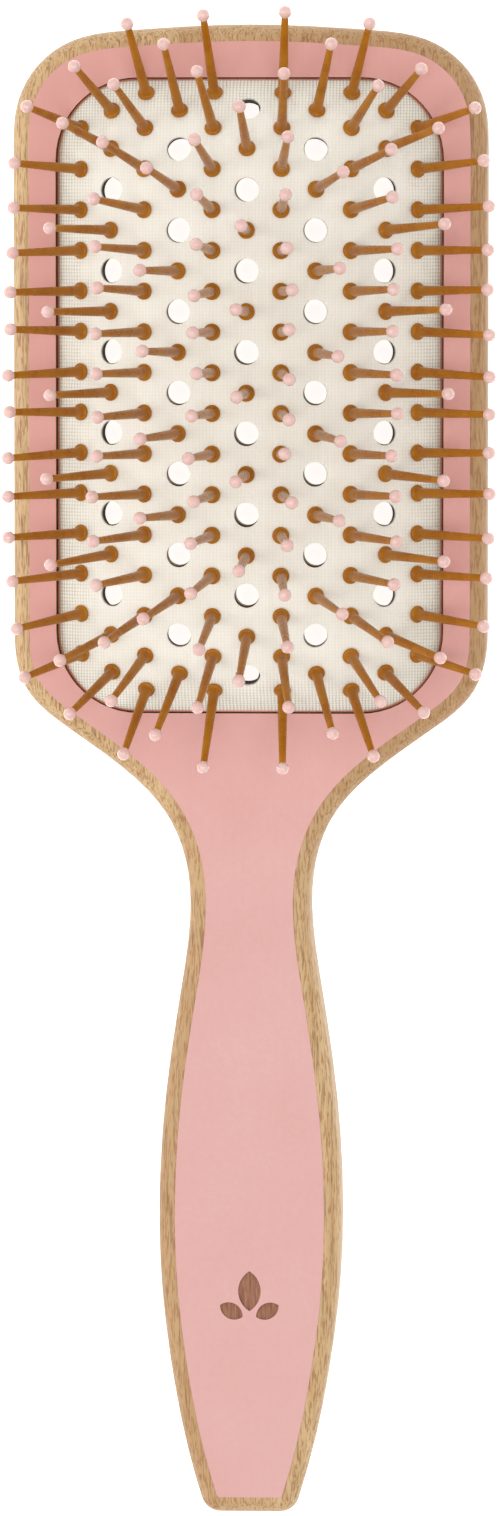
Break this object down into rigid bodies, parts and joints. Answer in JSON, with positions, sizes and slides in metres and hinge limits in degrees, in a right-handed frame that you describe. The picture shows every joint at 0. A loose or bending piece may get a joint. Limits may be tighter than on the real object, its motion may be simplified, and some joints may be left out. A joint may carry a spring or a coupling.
{
  "type": "paddle hair brush",
  "caption": "Paddle hair brush: flat bamboo board with a painted face and a waisted handle, a vented domed fabric cushion, and tapered pins with ball tips",
  "frame": {"origin": "on the flat back of the board, under the middle of the cushion", "axes": "+Z out of the pin side, +Y from the handle to the head, +X across the brush"},
  "size_m": [0.0818, 0.2536, 0.0439],
  "materials": {
    "bamboo": "sanded bamboo, satin oil",
    "face_paint": "satin pink lacquer on wood",
    "cushion_cloth": "fine off-white woven cloth",
    "cushion_rubber": "grey latex",
    "pin_nylon": "caramel brown, slightly glossy",
    "ball_tip": "milky pale pink, glossy"
  },
  "bodies": {
    "brush_body": {"bamboo_body": "bamboo", "face_coat": "face_paint", "cushion_fabric": "cushion_cloth", "cushion_rubber": "cushion_rubber"},
    "pin_ring_1": {"pins_ring_1": "pin_nylon", "ball_tips_ring_1": "ball_tip"},
    "pin_ring_2": {"pins_ring_2": "pin_nylon", "ball_tips_ring_2": "ball_tip"},
    "pin_ring_3": {"pins_ring_3": "pin_nylon", "ball_tips_ring_3": "ball_tip"},
    "pin_ring_4": {"pins_ring_4": "pin_nylon", "ball_tips_ring_4": "ball_tip"},
    "pin_ring_5": {"pins_ring_5": "pin_nylon", "ball_tips_ring_5": "ball_tip"},
    "pin_ring_6": {"pins_ring_6": "pin_nylon", "ball_tips_ring_6": "ball_tip"},
    "pin_ring_7": {"pins_ring_7": "pin_nylon", "ball_tips_ring_7": "ball_tip"},
    "pin_ring_8": {"pins_ring_8": "pin_nylon", "ball_tips_ring_8": "ball_tip"},
    "pin_ring_9": {"pins_ring_9": "pin_nylon", "ball_tips_ring_9": "ball_tip"},
    "pin_ring_10": {"pins_ring_10": "pin_nylon", "ball_tips_ring_10": "ball_tip"}
  },
  "joints": [
    {"name": "cushion_press", "type": "slide", "parent": "brush_body", "child": "pin_ring_1", "axis": [0, 0, 1], "range_m": [-0.004, 0], "stiffness_N_per_m": 203, "deforming": ["cushion_fabric", "cushion_rubber"]},
    {"name": "ring_2_press", "type": "slide", "parent": "brush_body", "child": "pin_ring_2", "axis": [0, 0, 1], "range_m": [-0.00392, 0], "stiffness_N_per_m": 1353.4},
    {"name": "ring_3_press", "type": "slide", "parent": "brush_body", "child": "pin_ring_3", "axis": [0, 0, 1], "range_m": [-0.00359, 0], "stiffness_N_per_m": 1082.7},
    {"name": "ring_4_press", "type": "slide", "parent": "brush_body", "child": "pin_ring_4", "axis": [0, 0, 1], "range_m": [-0.00332, 0], "stiffness_N_per_m": 270.7},
    {"name": "ring_5_press", "type": "slide", "parent": "brush_body", "child": "pin_ring_5", "axis": [0, 0, 1], "range_m": [-0.00307, 0], "stiffness_N_per_m": 1488.7},
    {"name": "ring_6_press", "type": "slide", "parent": "brush_body", "child": "pin_ring_6", "axis": [0, 0, 1], "range_m": [-0.00274, 0], "stiffness_N_per_m": 406},
    {"name": "ring_7_press", "type": "slide", "parent": "brush_body", "child": "pin_ring_7", "axis": [0, 0, 1], "range_m": [-0.00228, 0], "stiffness_N_per_m": 1082.7},
    {"name": "ring_8_press", "type": "slide", "parent": "brush_body", "child": "pin_ring_8", "axis": [0, 0, 1], "range_m": [-0.00194, 0], "stiffness_N_per_m": 541.4},
    {"name": "ring_9_press", "type": "slide", "parent": "brush_body", "child": "pin_ring_9", "axis": [0, 0, 1], "range_m": [-0.00153, 0], "stiffness_N_per_m": 406},
    {"name": "ring_10_press", "type": "slide", "parent": "brush_body", "child": "pin_ring_10", "axis": [0, 0, 1], "range_m": [-0.00125, 0], "stiffness_N_per_m": 2165.4}
  ],
  "couplings": [
    {"joint": "ring_2_press", "follows": "cushion_press", "ratio": 0.9743},
    {"joint": "ring_3_press", "follows": "cushion_press", "ratio": 0.8928},
    {"joint": "ring_4_press", "follows": "cushion_press", "ratio": 0.826},
    {"joint": "ring_5_press", "follows": "cushion_press", "ratio": 0.7616},
    {"joint": "ring_6_press", "follows": "cushion_press", "ratio": 0.6809},
    {"joint": "ring_7_press", "follows": "cushion_press", "ratio": 0.5647},
    {"joint": "ring_8_press", "follows": "cushion_press", "ratio": 0.4807},
    {"joint": "ring_9_press", "follows": "cushion_press", "ratio": 0.3768},
    {"joint": "ring_10_press", "follows": "cushion_press", "ratio": 0.3082}
  ]
}
